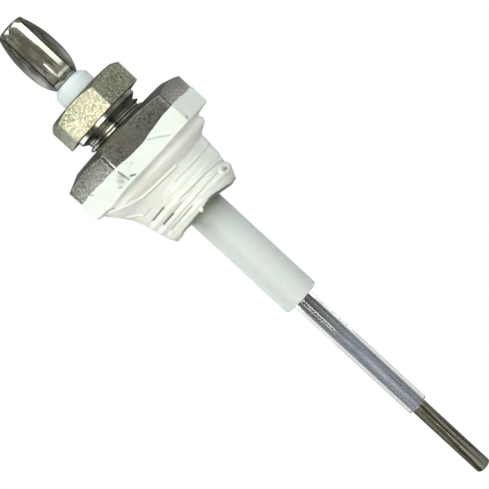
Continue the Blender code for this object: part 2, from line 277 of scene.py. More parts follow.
class Nodes:
    """Short calls for building one material's node tree, in object coordinates in millimetres."""

    def __init__(self, name):
        self.material = bpy.data.materials.new(name)
        self.material.use_nodes = True
        self.tree = self.material.node_tree
        self.shader = self.tree.nodes["Principled BSDF"]
        place = self.new("ShaderNodeTexCoord")
        scale = self.new("ShaderNodeVectorMath", operation="SCALE")
        scale.inputs["Scale"].default_value = 1.0 / MM
        self.link(place.outputs["Object"], scale.inputs[0])
        self.place = scale.outputs[0]
        split = self.new("ShaderNodeSeparateXYZ")
        self.link(self.place, split.inputs[0])
        self.x, self.y, self.z = split.outputs

    def new(self, kind, **settings):
        node = self.tree.nodes.new(kind)
        for key, value in settings.items():
            setattr(node, key, value)
        return node

    def link(self, source, socket):
        self.tree.links.new(source, socket)

    def feed(self, socket, value):
        """Link a socket's value, or set a number or a colour of three parts."""
        if isinstance(value, bpy.types.NodeSocket):
            self.link(value, socket)
        else:
            socket.default_value = (*value, 1.0) if isinstance(value, tuple) else value

    def math(self, operation, first, second=0.0, third=0.0, clamp=False):
        node = self.new("ShaderNodeMath", operation=operation, use_clamp=clamp)
        for socket, value in zip(node.inputs, (first, second, third)):
            self.feed(socket, value)
        return node.outputs[0]

    def stretched(self, x, y, z):
        """The place in millimetres, with each axis scaled."""
        node = self.new("ShaderNodeVectorMath", operation="MULTIPLY")
        self.link(self.place, node.inputs[0])
        node.inputs[1].default_value = (x, y, z)
        return node.outputs[0]

    def noise(self, scale, detail=3.0, roughness=0.5, place=None, distortion=0.0):
        node = self.new("ShaderNodeTexNoise")
        self.link(place or self.place, node.inputs["Vector"])
        node.inputs["Scale"].default_value = scale
        node.inputs["Detail"].default_value = detail
        node.inputs["Roughness"].default_value = roughness
        node.inputs["Distortion"].default_value = distortion
        return node.outputs["Fac"]

    def cells(self, scale):
        node = self.new("ShaderNodeTexVoronoi")
        self.link(self.place, node.inputs["Vector"])
        node.inputs["Scale"].default_value = scale
        return node.outputs["Distance"]

    def ramp(self, value, low, high, to_low=0.0, to_high=1.0):
        """A smooth rise from one number to another, while the value goes from low to high."""
        node = self.new("ShaderNodeMapRange", interpolation_type="SMOOTHSTEP")
        self.feed(node.inputs["Value"], value)
        for key, number in (("From Min", low), ("From Max", high), ("To Min", to_low), ("To Max", to_high)):
            self.feed(node.inputs[key], number)
        return node.outputs["Result"]

    def blend(self, share, first, second):
        """The first colour where the share is 0, and the second where it is 1."""
        node = self.new("ShaderNodeMix", data_type="RGBA")
        self.feed(node.inputs[0], share)
        self.feed(node.inputs[6], first)
        self.feed(node.inputs[7], second)
        return node.outputs[2]

    def bump(self, height, distance, strength, under=None):
        """A normal from a height, which stands for that many millimetres."""
        node = self.new("ShaderNodeBump")
        node.inputs["Distance"].default_value = distance * MM
        node.inputs["Strength"].default_value = strength
        self.link(height, node.inputs["Height"])
        if under is not None:
            self.link(under, node.inputs["Normal"])
        return node.outputs["Normal"]

    def set(self, **values):
        """Set or link inputs of the shader, and return the finished material."""
        for key, value in values.items():
            name = key.replace("_", " ").title().replace("Ior", "IOR")
            self.feed(self.shader.inputs[name], value)
        return self.material


def cast_metal(name, dark, light, worn, smooth, rough, relief):
    """A pickled casting: a fine grain of two tones, dark and light, with patches worn smooth."""
    n = Nodes(name)
    grain = n.noise(3.1, detail=4.0, roughness=0.62, distortion=0.7)
    fine = n.noise(9.0, detail=3.0)
    patch = n.noise(0.35, detail=2.0)
    colour = n.blend(n.ramp(grain, 0.39, 0.63), dark, light)
    colour = n.blend(n.ramp(patch, 0.40, 0.65, 0.0, 0.45), colour, worn)
    normal = n.bump(fine, 0.02, 0.5, under=n.bump(grain, relief, 0.8))
    return n.set(base_color=colour, metallic=1.0, normal=normal,
                 roughness=n.ramp(grain, 0.3, 0.7, rough, smooth))


def turned_steel():
    """Machined steel: threads, shoulders and bores. It is painted dark at the end of the boss, under the
    tape, as shade, and darker on its +X side.
    """
    n = Nodes("turned_steel")
    rings = n.noise(1.0, detail=3.0, place=n.stretched(0.25, 0.25, 14.0))
    stain = n.noise(1.3, detail=3.0)
    colour = n.blend(n.ramp(stain, 0.35, 0.7), (0.20, 0.20, 0.17), (0.34, 0.34, 0.30))
    # painted shade: the end of the boss, under the tape, is darkened
    colour = n.blend(n.ramp(n.z, BOSS_END + 2.0, BOSS_END + 0.6), colour, (0.07, 0.07, 0.055))
    # painted shade: the +X side is darkened, and it is also made rougher
    shaded_side = n.ramp(n.x, 0.3, 1.0)
    colour = n.blend(n.math("MULTIPLY", shaded_side, 0.5), colour, (0.15, 0.15, 0.12))
    polish = n.ramp(stain, 0.3, 0.7, 0.19, 0.28)
    return n.set(base_color=colour, metallic=1.0, roughness=n.math("MULTIPLY_ADD", shaded_side, 0.22, polish),
                 normal=n.bump(rings, 0.006, 0.3))


def nickel_plate():
    """The bright sheet of the terminal and its pin."""
    n = Nodes("bright_nickel")
    dents = n.noise(0.9, detail=2.0, roughness=0.45, place=n.stretched(1.0, 1.0, 0.5))
    rub = n.noise(2.0, detail=4.0, place=n.stretched(1.0, 1.0, 0.25))
    colour = n.blend(n.ramp(rub, 0.4, 0.7), (0.41, 0.40, 0.335), (0.50, 0.49, 0.44))
    # a pale highlight is painted along a crease and across the foot of the broad leaf, on its front, and
    # made rougher there
    foot = TERMINAL_BASE + 1.15
    across = n.math("MULTIPLY", n.ramp(n.math("ABSOLUTE", n.math("SUBTRACT", n.z, foot)), 0.30, 0.16),
                    n.ramp(n.x, -0.50, -0.38))
    along = n.math("MULTIPLY", n.ramp(n.math("ABSOLUTE", n.math("ADD", n.x, 0.37)), 0.20, 0.06),
                   n.ramp(n.math("ABSOLUTE", n.math("SUBTRACT", n.z, foot + 1.2)), 1.6, 0.9))
    painted_highlight = n.math("MULTIPLY", n.math("MAXIMUM", across, along), n.ramp(n.y, -1.2, -1.6))
    painted_highlight = n.math("MULTIPLY", painted_highlight, n.ramp(rub, 0.30, 0.50, 0.55, 1.0))
    colour = n.blend(painted_highlight, colour, (0.90, 0.90, 0.86))
    # the narrow leaves at the sides are painted darker, as shade, and made rougher
    side = n.ramp(n.math("ABSOLUTE", n.x), LEAF_HALF - 0.02, LEAF_HALF + 0.08)
    painted_shade_dull = n.blend(n.ramp(rub, 0.42, 0.60), (0.10, 0.10, 0.085), (0.20, 0.20, 0.175))
    colour = n.blend(n.math("MULTIPLY", side, 0.85), colour, painted_shade_dull)
    polish = n.math("MULTIPLY_ADD", side, 0.22, n.ramp(rub, 0.35, 0.7, 0.14, 0.25))
    return n.set(base_color=colour, metallic=1.0, roughness=n.math("MULTIPLY_ADD", painted_highlight, 0.30, polish),
                 normal=n.bump(dents, 0.03, 0.30))


def drawn_wire():
    """The rod: heat-tinted at its bare tip, and clean where the clear tube covers it."""
    n = Nodes("drawn_wire")
    streak = n.noise(1.6, detail=3.0, roughness=0.5, place=n.stretched(1.5, 1.5, 0.05))
    specks = n.cells(1.1)
    fine = n.noise(9.0, detail=2.0, place=n.stretched(2.0, 2.0, 0.5))
    tinted = n.blend(n.ramp(streak, 0.42, 0.58), (0.08, 0.075, 0.045), (0.42, 0.41, 0.35))
    tinted = n.blend(n.ramp(specks, 0.10, 0.22, 0.75, 0.0), tinted, (0.03, 0.025, 0.02))
    clean = n.blend(n.ramp(streak, 0.38, 0.62), (0.24, 0.265, 0.32), (0.38, 0.41, 0.47))
    inside = n.ramp(n.z, TUBE_END - 0.1, TUBE_END + 0.3)
    colour = n.blend(inside, tinted, clean)
    # painted shade: it is browner, darker and duller where it comes out of the sleeve
    painted_shade_dull = n.ramp(n.z, SLEEVE_END - 10.0, SLEEVE_END - 2.0)
    colour = n.blend(n.math("MULTIPLY", painted_shade_dull, 0.55), colour, (0.12, 0.115, 0.095))
    normal = n.bump(fine, 0.003, 0.3, under=n.bump(streak, 0.02, 0.5))
    rough = n.math("MULTIPLY_ADD", inside, 0.46, n.ramp(streak, 0.3, 0.7, 0.27, 0.18))
    rough = n.math("MULTIPLY_ADD", painted_shade_dull, 0.25, rough)
    return n.set(base_color=colour, metallic=1.0, roughness=rough, normal=normal)


def sleeve_ptfe():
    """Virgin PTFE: cold white at its cut head and greyer below the fitting, with the tape's shadow painted
    olive on it just below the tape.
    """
    n = Nodes("sleeve_ptfe")
    cloud = n.noise(0.22, detail=3.0, place=n.stretched(1.0, 1.0, 0.6))
    below = n.blend(n.ramp(cloud, 0.35, 0.68), (0.58, 0.625, 0.61), (0.56, 0.62, 0.61))
    colour = n.blend(n.ramp(n.z, 8.0, 12.0), below, (0.60, 0.68, 0.69))
    # painted shadow: the tape's shadow darkens the sleeve just below the fitting
    tape_shadow = n.math("MULTIPLY", n.ramp(n.z, -11.4, -10.0), n.ramp(n.z, -7.0, -8.6))
    tape_shadow = n.math("MULTIPLY", tape_shadow, n.ramp(cloud, 0.25, 0.7, 0.55, 0.85))
    colour = n.blend(tape_shadow, colour, (0.20, 0.20, 0.13))
    speck = n.cells(0.55)
    colour = n.blend(n.ramp(speck, 0.05, 0.09, 0.35, 0.0), colour, (0.30, 0.32, 0.28))
    fine = n.noise(5.0, detail=3.0, place=n.stretched(1.0, 1.0, 0.15))
    return n.set(base_color=colour, roughness=0.5, normal=n.bump(fine, 0.006, 0.5),
                 subsurface_weight=0.4, subsurface_scale=0.0018)


def clear_plastic():
    """Thin clear tubing, a little hazy along its length."""
    n = Nodes("clear_plastic")
    haze = n.noise(0.8, detail=2.0, place=n.stretched(1.0, 1.0, 0.12))
    colour = n.blend(n.ramp(haze, 0.35, 0.7), (0.81, 0.83, 0.83), (0.88, 0.89, 0.86))
    n.set(base_color=colour, roughness=n.ramp(haze, 0.3, 0.7, 0.02, 0.05), ior=1.38,
          specular_ior_level=0.15, transmission_weight=1.0, normal=n.bump(haze, 0.004, 0.2))
    # the wall bends what passes through it, but lamps light the rod straight through it
    path = n.new("ShaderNodeLightPath")
    early = n.math("LESS_THAN", path.outputs["Ray Depth"], 2.5)
    bent = n.math("MAXIMUM", early, path.outputs["Is Transmission Ray"])
    bent = n.math("SUBTRACT", bent, path.outputs["Is Shadow Ray"], clamp=True)
    straight = n.new("ShaderNodeBsdfTransparent")
    mix = n.new("ShaderNodeMixShader")
    n.link(bent, mix.inputs[0])
    n.link(straight.outputs[0], mix.inputs[1])
    n.link(n.shader.outputs[0], mix.inputs[2])
    n.link(mix.outputs[0], n.tree.nodes["Material Output"].inputs["Surface"])
    return n.material


def tape_ptfe():
    """Thread tape. The mesh's tone makes it paler below 0 and darker above: mostly painted highlights and
    painted shade, with a few real smudges and scratches.
    """
    n = Nodes("tape_ptfe")
    fibre = n.noise(3.0, detail=4.0, roughness=0.6, place=n.stretched(0.6, 0.6, 3.2))
    cloud = n.noise(0.45, detail=3.0)
    colour = n.blend(n.ramp(cloud, 0.35, 0.68), (0.74, 0.765, 0.70), (0.78, 0.81, 0.77))
    tone = n.new("ShaderNodeAttribute", attribute_name="tone").outputs["Fac"]
    colour = n.blend(n.ramp(tone, 0.0, -1.0, 0.0, 0.8), colour, (0.97, 0.97, 0.93))
    colour = n.blend(n.ramp(tone, 0.0, 1.0), colour, (0.16, 0.17, 0.17))
    return n.set(base_color=colour, roughness=0.42, normal=n.bump(fibre, 0.02, 0.5), sheen_weight=0.25,
                 sheen_roughness=0.4, subsurface_weight=0.15, subsurface_scale=0.0008)


def sealant():
    n = Nodes("sealant")
    cloud = n.noise(3.0, detail=2.0)
    colour = n.blend(n.ramp(cloud, 0.35, 0.7), (0.80, 0.80, 0.70), (0.90, 0.90, 0.82))
    return n.set(base_color=colour, roughness=0.16, normal=n.bump(cloud, 0.01, 0.3), coat_weight=0.6)


def moulded_ptfe():
    n = Nodes("moulded_ptfe")
    cloud = n.noise(1.2, detail=3.0)
    colour = n.blend(n.ramp(cloud, 0.35, 0.7), (0.74, 0.73, 0.67), (0.84, 0.83, 0.78))
    return n.set(base_color=colour, roughness=0.55, normal=n.bump(cloud, 0.02, 0.4))


def turned_brass():
    n = Nodes("turned_brass")
    rings = n.noise(1.0, detail=3.0, place=n.stretched(0.2, 0.2, 12.0))
    colour = n.blend(n.ramp(rings, 0.35, 0.7), (0.52, 0.37, 0.15), (0.66, 0.50, 0.25))
    return n.set(base_color=colour, metallic=1.0, roughness=0.28, normal=n.bump(rings, 0.01, 0.4))


# ---------------------------------------------------------------- mesh helpers

def new_object(name, points, faces, materials, body, smooth_angle=35.0, tone=None, wall=0.0):
    """A mesh object from points in millimetres, riding on a CAD body.

    tone is a value for each point. A wall thickens the faces inwards by that many millimetres.
    """
    mesh = bpy.data.meshes.new(name)
    mesh.from_pydata((np.asarray(points) * MM).tolist(), [], faces)
    if tone is not None:
        mesh.attributes.new("tone", "FLOAT", "POINT").data.foreach_set("value", tone)
    bm = bmesh.new()
    bm.from_mesh(mesh)
    bmesh.ops.remove_doubles(bm, verts=bm.verts, dist=WELD)
    bmesh.ops.dissolve_degenerate(bm, edges=bm.edges, dist=WELD)
    bmesh.ops.recalc_face_normals(bm, faces=bm.faces)
    if wall:
        bmesh.ops.solidify(bm, geom=bm.faces[:], thickness=wall * MM)
        bmesh.ops.recalc_face_normals(bm, faces=bm.faces)
    bm.to_mesh(mesh)
    bm.free()
    mesh.shade_smooth()
    mesh.set_sharp_from_angle(angle=math.radians(smooth_angle))
    for material in materials:
        mesh.materials.append(material)
    obj = bpy.data.objects.new(name, mesh)
    bpy.context.scene.collection.objects.link(obj)
    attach(obj, body)
    return obj


def ring_faces(columns, rows, closed=True):
    """Quads round a ring of columns, each a closed loop of rows."""
    faces = []
    for i in range(columns if closed else columns - 1):
        j = (i + 1) % columns
        for k in range(rows):
            m = (k + 1) % rows
            faces.append((i * rows + k, j * rows + k, j * rows + m, i * rows + m))
    return faces


def turn_grid(angles, radii, heights):
    """Points of a ring of columns, at angles in radians. radii and heights have a row for each angle."""
    cos, sin = np.cos(angles)[:, None], np.sin(angles)[:, None]
    return np.stack([radii * cos, radii * sin, heights], axis=-1).reshape(-1, 3)


def rounded(corners, radius, steps=3):
    """Round all corners between the two ends of an open outline of (radius, height) points."""
    result = [corners[0]]
    for before, here, after in zip(corners, corners[1:], corners[2:]):
        before, here, after = Vector(before), Vector(here), Vector(after)
        back, ahead = before - here, after - here
        cut = min(radius, back.length * 0.45, ahead.length * 0.45)
        start, end = here + back.normalized() * cut, here + ahead.normalized() * cut
        for k in range(steps + 1):
            t = k / steps
            result.append(tuple(start * (1 - t) ** 2 + here * (2 * t * (1 - t)) + end * t * t))
    return result + [corners[-1]]


def hexagon_radius(angle, across_flats, corner_angle, fillet):
    """Distance from the axis to a hexagon's side at an angle in degrees, with its corners rounded."""
    apothem = across_flats / 2
    from_corner = abs((angle - corner_angle + 30.0) % 60.0 - 30.0)
    flat = apothem / math.cos(math.radians(30.0 - from_corner))
    centre = (apothem - fillet) / math.cos(math.radians(30.0))
    turn = math.radians(from_corner)
    under = fillet * fillet - (centre * math.sin(turn)) ** 2
    if under <= 0.0:
        return flat
    return min(flat, centre * math.cos(turn) + math.sqrt(under))


def hexagon_angles(corner_angle, per_side):
    """Angles in degrees round a hexagon, close together at its corners."""
    angles = []
    for side in range(6):
        start = corner_angle + 60.0 * side
        near = [0.0, 0.3, 0.6, 0.95, 1.35, 1.8, 2.3]
        middle = [3.0 + (60.0 - 6.0) * i / per_side for i in range(per_side + 1)]
        angles += [start + a for a in near + middle + [60.0 - a for a in reversed(near[1:])]]
    return angles


# ---------------------------------------------------------------- threaded pieces

ROWS_PER_PITCH = 18
ROOT_FLAT = 0.27           # shares of half a pitch: the root, then the flank, then the crest
FLANK = 0.46
RUN_OUT = 0.45             # share of a pitch over which a thread rises at its ends


def thread_rows(top, bottom, pitch):
    """Phase and height of each row along an outside thread, with one spare pitch at its upper end."""
    count = int(round((top - bottom) / pitch * ROWS_PER_PITCH)) + ROWS_PER_PITCH
    rows = np.arange(count + 1)
    return (rows / ROWS_PER_PITCH) % 1.0, top + pitch - rows * pitch / ROWS_PER_PITCH


def is_turned(face, turned_below, worn_beyond):
    """Whether a face of a threaded piece is turned or worn bright, and not as it was cast.

    So are all that lies lower than turned_below, the bore and its mouth, what looks straight up, and
    upright corners that reach beyond worn_beyond.
    """
    x, y, z = face.center / MM
    out = math.hypot(x, y)
    worn = out > worn_beyond and abs(face.normal.z) < 0.25
    return z < turned_below or out < MOUTH_R + 0.35 or face.normal.z > 0.97 or worn


def threaded_piece(name, angles, above, below, thread, materials, body, turned_below, worn_beyond=math.inf):
    """A hollow piece with an outside thread. above(angle) and below(angle) are the outlines at its ends.

    thread is its top, bottom, pitch, crest radius, root radius and taper. Its rows follow its helix, so
    that its crest is one clean line. The first material is as cast, and the second turned.
    """
    top, bottom, pitch, crest, root, taper = thread
    phase, level = thread_rows(top, bottom, pitch)
    tooth = np.clip((1.0 - abs(phase - 0.5) * 2.0 - ROOT_FLAT) / FLANK, 0.0, 1.0)
    radii, heights = [], []
    ends = angles + [angles[0] + 360.0]
    for angle in ends:
        height = level - pitch * (angle - angles[0]) / 360.0
        inside = np.clip(np.minimum(top - height, height - bottom) / (RUN_OUT * pitch), 0.0, 1.0)
        held = np.clip(height, bottom, top)
        radius = root + (crest - root) * tooth * inside + (held - bottom) * taper
        head, tail = above(angle), below(angle)
        radii.append([r for r, z in head] + list(radius) + [r for r, z in tail])
        heights.append([z for r, z in head] + list(held) + [z for r, z in tail])
    # the last column lies on the first with its rows one pitch on, and is welded to it
    points = turn_grid(np.radians(ends), np.array(radii), np.array(heights))
    obj = new_object(name, points, ring_faces(len(ends), len(radii[0]), closed=False), materials, body)
    for face in obj.data.polygons:
        if is_turned(face, turned_below, worn_beyond):
            face.material_index = 1
    return obj


def make_nut(materials):
    bottom = NUT_TOP - NUT_HEIGHT
    shoulder = bottom - SHOULDER_HEIGHT
    neck = shoulder - 0.35

    def above(angle):
        side = hexagon_radius(angle, NUT_FLATS, NUT_CORNER, NUT_EDGE)
        drop = (side - NUT_CHAMFER_R) * math.tan(math.radians(30.0))
        return rounded([(BORE_R, neck), (BORE_R, NUT_TOP - NUT_SINK_DEPTH), (NUT_SINK_R, NUT_TOP),
                        (NUT_CHAMFER_R, NUT_TOP), (side, NUT_TOP - drop), (side, bottom),
                        (SHOULDER_R, bottom), (SHOULDER_R, shoulder + 0.25), (NUT_ROOT_R, neck)], 0.08)

    def below(angle):
        return [(NUT_ROOT_R - 0.1, NUT_END), (BORE_R, NUT_END)]

    thread = (neck, NUT_END + 0.1, NUT_PITCH, NUT_CREST_R, NUT_ROOT_R, 0.0)
    obj = threaded_piece("gland_nut_finished", hexagon_angles(NUT_CORNER, 14), above, below, thread,
                         materials, "gland_nut", bottom)
    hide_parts("gland_nut")


def make_body(materials):
    neck = -0.9

    def above(angle):
        side = hexagon_radius(angle, BODY_FLATS, BODY_CORNER, BODY_EDGE)
        drop = (side - BODY_CHAMFER_R) * math.tan(math.radians(21.0))
        return rounded([(BORE_R, BOSS_END), (BORE_R, SEAT_END), (CHAMBER_R, SEAT_TOP),
                        (CHAMBER_R, CHAMBER_TOP), (MOUTH_R, MOUTH_END), (MOUTH_R, BODY_TOP - 0.3),
                        (MOUTH_R + 0.3, BODY_TOP), (BODY_CHAMFER_R, BODY_TOP), (side, BODY_TOP - drop),
                        (side, 0.0), (6.2, 0.0), (5.8, neck)], 0.10)

    def below(angle):
        return [(5.3, BOSS_END), (BORE_R, BOSS_END)]

    thread = (neck, BOSS_END + 0.2, BOSS_PITCH, BOSS_CREST_R, BOSS_ROOT_R, BOSS_TAPER)
    # the middle of each rounded corner is worn bright
    worn_beyond = (BODY_FLATS / 2 - BODY_EDGE) / math.cos(math.radians(30.0)) + BODY_EDGE * 0.975
    obj = threaded_piece("body_fitting_finished", hexagon_angles(BODY_CORNER, 20), above, below, thread,
                         materials, "fitting", 0.0, worn_beyond)
    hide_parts("body_fitting")


# ---------------------------------------------------------------- spring terminal

FOOT_SHARES = [0.0, 0.012, 0.025, 0.043]       # rows of an uncut ring, as shares of the length
BROAD_STEPS = 22
NARROW_STEPS = 16


def barrel_radius(share):
    """Outside radius of the terminal, from its base at 0 to its head at 1."""
    if share < 0.5:
        return TERMINAL_R - (TERMINAL_R - TERMINAL_BASE_R) * (1.0 - share / 0.5) ** 3
    return TERMINAL_R - (TERMINAL_R - TERMINAL_HEAD_R) * ((share - 0.5) / 0.5) ** 2


def leaf_drop(x):
    """How far a broad leaf falls away from its proud edge, at a distance from its centre line."""
    drop = (min(x, LEAF_BEND) + LEAF_HALF) * math.tan(math.radians(2.5))
    return drop + max(x - LEAF_BEND, 0.0) * math.tan(math.radians(26.0))


def broad_leaf_height(x, share):
    """Distance of a broad leaf from the plane of the axis: almost flat, but round at both ends."""
    radius = barrel_radius(share)
    true_circle = math.sqrt(max(radius * radius - x * x, 0.0))
    ease = min(1.0, min(share, 1.0 - share) / 0.07)
    ease = ease * ease * (3.0 - 2.0 * ease)
    # a crease near the base marks where it was bent
    crease = 0.03 * math.exp(-((x + 0.37) / 0.13) ** 2 - ((share - 0.15) / 0.11) ** 2)
    return true_circle + (radius - leaf_drop(x) - true_circle) * ease + crease


def leaf_point(leaf, across, share):
    """A point of leaf 0 to 3, across it from 0 to 1 and along it from 0 to 1. Even leaves are broad."""
    if leaf % 2 == 0:
        x = (LEAF_HALF - SLOT_HALF) * (across * 2.0 - 1.0)
        y = -broad_leaf_height(x, share)
    else:
        radius = barrel_radius(share)
        reach = math.sqrt(max(radius * radius - (LEAF_HALF + SLOT_HALF) ** 2, 0.0))
        angle = math.atan2(reach, LEAF_HALF + SLOT_HALF) * (across * 2.0 - 1.0)
        x, y = radius * math.cos(angle), radius * math.sin(angle)
    if leaf >= 2:
        x, y = -x, -y
    return (x, y, TERMINAL_BASE + (TERMINAL_TOP - TERMINAL_BASE) * share)


def make_spring(material):
    """Four leaves, bowed out between two uncut rings."""
    foot = FOOT_SHARES[-1]
    shares = FOOT_SHARES + [foot + (1.0 - 2.0 * foot) * i / 44 for i in range(1, 44)]
    shares += [1.0 - share for share in reversed(FOOT_SHARES)]
    columns = []
    for leaf in range(4):
        steps = BROAD_STEPS if leaf % 2 == 0 else NARROW_STEPS
        columns += [(leaf, i / steps, i == steps) for i in range(steps + 1)]
    points = [leaf_point(leaf, across, share) for leaf, across, _ in columns for share in shares]
    rows = len(shares)
    first_open, end_open = len(FOOT_SHARES) - 1, rows - len(FOOT_SHARES)
    faces = []
    for i, (_, _, beside_slot) in enumerate(columns):
        j = (i + 1) % len(columns)
        for k in range(rows - 1):
            if not (beside_slot and first_open <= k < end_open):
                faces.append((i * rows + k, j * rows + k, j * rows + k + 1, i * rows + k + 1))
    obj = new_object("terminal_spring_finished", points, faces, [material], "terminal_spring", 50.0,
                     wall=SPRING_WALL)
    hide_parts("terminal_spring")


# ---------------------------------------------------------------- thread tape

# outlines of the wound tape at the front, at +X and at -X, as (height, radius)
TAPE_FRONT = [(-0.05, 9.86), (-0.30, 9.42), (-0.75, 9.22), (-1.33, 9.15), (-1.85, 8.74), (-2.25, 8.28),
              (-2.60, 7.92), (-3.10, 7.58), (-4.50, 7.40), (-6.00, 7.30), (-8.00, 6.95), (-9.50, 6.60),
              (-10.55, 6.10)]
TAPE_RIGHT = [(-0.05, 9.60), (-0.35, 9.02), (-0.75, 9.12), (-1.30, 9.28), (-1.80, 9.10), (-2.20, 8.25),
              (-2.60, 7.42), (-4.40, 7.30), (-6.20, 7.13), (-7.47, 6.80), (-8.46, 7.18), (-9.50, 6.66),
              (-10.55, 6.10)]
TAPE_LEFT = [(-0.05, 10.90), (-0.35, 10.45), (-1.00, 10.10), (-1.70, 9.55), (-2.46, 8.98), (-3.90, 8.05),
             (-5.36, 7.55), (-6.20, 7.35), (-8.00, 6.95), (-9.45, 6.60), (-10.55, 6.00)]
TAPE_COLUMNS = 480
TAPE_SKIN = 0.11           # least thickness of the wrap
LEFT_SIDE = (182.0, 46.0)  # centre and width of the stretch where an outline holds, in degrees
RIGHT_SIDE = (10.0, 62.0)
CREST_AT = (255.0, -6.36)  # a crest of the thread shows through here: degrees and height
WRAP_R = 7.4               # mean radius of the wrap, on which creases are measured

# creases: a path of (degrees, height) points, the width and height of the fold, and its tone: a positive
# tone is mostly painted shade in the fold, a negative one a painted highlight on a ridge, and a few on the
# band are scratches and nicks
TAPE_CREASES = (
    ([(283, -2.97), (256, -2.77), (236, -2.57), (223, -1.97), (211, -1.09), (203, -0.60)], 0.13, 0.17, -0.9),
    ([(272, -3.16), (256, -3.02), (237, -2.84), (226, -2.40)], 0.09, -0.09, 0.45),
    ([(284, -2.60), (256, -2.40), (238, -2.20), (226, -1.60)], 0.24, -0.10, 0.24),
    ([(239.5, -5.62), (231, -5.66), (221, -5.74), (214, -5.80)], 0.13, -0.17, 0.95),
    ([(240, -7.12), (231, -7.14), (219, -7.22)], 0.14, -0.19, 1.0),
    ([(257, -6.98), (247, -7.04), (240, -7.10)], 0.10, -0.10, 0.40),
    ([(262, -8.36), (250, -8.38), (232, -8.46), (218, -8.52)], 0.11, -0.16, 0.42),
    ([(240, -8.72), (230, -8.76), (218, -8.80)], 0.09, -0.08, 0.35),
    ([(228, -4.50), (217, -4.60)], 0.16, -0.08, 0.30),
    ([(354, -7.56), (322, -7.04), (295, -6.70), (274, -6.57), (259, -6.49)], 0.13, -0.12, 0.26),
    ([(352, -7.20), (322, -6.76), (295, -6.44), (274, -6.32), (262, -6.26)], 0.12, 0.07, -0.35),
    ([(315, -7.97), (294, -7.83), (274, -7.87), (251, -7.93), (219, -8.07)], 0.13, -0.10, 0.22),
    ([(312, -8.60), (294, -8.35), (276, -8.25)], 0.10, 0.06, -0.25),
    ([(358, -4.28), (322, -4.28), (294, -4.27), (268, -4.13)], 0.12, 0.06, -0.25),
    ([(350, -4.62), (322, -4.60), (294, -4.58), (272, -4.44)], 0.14, -0.06, 0.14),
    ([(310, -5.62), (290, -5.52), (268, -5.42), (250, -5.30)], 0.10, -0.05, 0.14),
    ([(334, -2.89), (307, -3.07), (284, -2.95)], 0.16, -0.08, 0.16),
    ([(341, -1.52), (330, -1.60), (318, -1.62)], 0.20, -0.08, 0.22),
    ([(214, -4.26), (206, -3.60), (198, -3.00)], 0.17, 0.15, -1.0),
    ([(211, -0.75), (206, -0.42), (200, -0.36)], 0.17, -0.30, 1.0),
    ([(293, 0.42), (286, 1.40), (278.5, 2.28)], 0.07, -0.07, 0.60),
    ([(295, 0.55), (288, 1.55), (280.5, 2.38)], 0.10, 0.06, -0.3),
    ([(249.5, 0.45), (249, 1.30), (248.5, 2.25)], 0.09, -0.05, 0.75),
    ([(205, 2.95), (208, 2.65)], 0.08, -0.08, 0.8),
    ([(310.5, 0.30), (312, 0.60)], 0.16, -0.06, 0.9),
    ([(309, 0.6), (308.5, 2.9)], 0.10, 0.03, 0.22),
    ([(254.5, 0.30), (252.0, 0.62)], 0.12, -0.06, 0.9),
    ([(258, 1.6), (258.5, 1.75)], 0.07, -0.02, 0.6),
    ([(256, 2.2), (256.5, 2.3)], 0.07, -0.02, 0.5),
    ([(240, 0.45), (237.5, 0.75)], 0.14, 0.05, 0.55),
)
KNOT_AT = (326.7, -8.29)   # degrees and height
KNOT_R = 7.1
BEAD_AT = (266.0, -9.62)
BEAD_OUT = 6.55            # distance of its centre from the axis
BEAD_R = 0.33


def bell(value, centre, width):
    return np.exp(-((value - centre) / width) ** 2)


def step(value, low, high):
    t = np.clip((value - low) / (high - low), 0.0, 1.0)
    return t * t * (3.0 - 2.0 * t)


def turn_from(degrees, centre):
    """Difference of two angles in degrees, from -180 to 180."""
    return (degrees - centre + 180.0) % 360.0 - 180.0


def lobe(around, centre, width):
    """1 at an azimuth, falling away on both sides of it."""
    return bell(turn_from(around, centre), 0.0, width)


def ripple(around, turns, shift=0.0):
    return np.sin(np.radians(around * turns + shift))


def outline_radius(outline, heights):
    """Radius along an outline, with its corners eased."""
    level, radius = zip(*reversed(outline))
    return sum(np.interp(heights + shift, level, radius) for shift in np.linspace(-0.16, 0.16, 9)) / 9.0


def near_path(around, height, path, width):
    """1 on a path of (degrees, height) points, falling away over its width."""
    reach = WRAP_R * math.pi / 180.0
    best = np.full(around.shape, np.inf)
    for (a0, z0), (a1, z1) in zip(path, path[1:]):
        dx, dz = (a1 - a0) * reach, z1 - z0
        px, pz = turn_from(around, a0) * reach, height - z0
        t = np.clip((px * dx + pz * dz) / (dx * dx + dz * dz), 0.0, 1.0)
        best = np.minimum(best, (px - t * dx) ** 2 + (pz - t * dz) ** 2)
    return np.exp(-best / (width * width))


def wander(around, height, turns, rate, seed):
    """Smooth wandering values, about -1 to 1, that close on themselves round the axis."""
    rng = np.random.default_rng(seed)
    angle = np.radians(around)
    total = np.zeros(around.shape)
    for _ in range(12):
        octave = rng.uniform(1.0, 3.0)
        cycles = max(1, round(turns * octave))
        phase = rng.uniform(0.0, math.tau, 2)
        slant = rate * octave * rng.uniform(0.5, 1.2)
        total += np.sin(cycles * angle + slant * height + phase[0]) / octave
        total += np.sin(cycles * angle - slant * height * 0.7 + phase[1]) / octave
    return total / 6.0


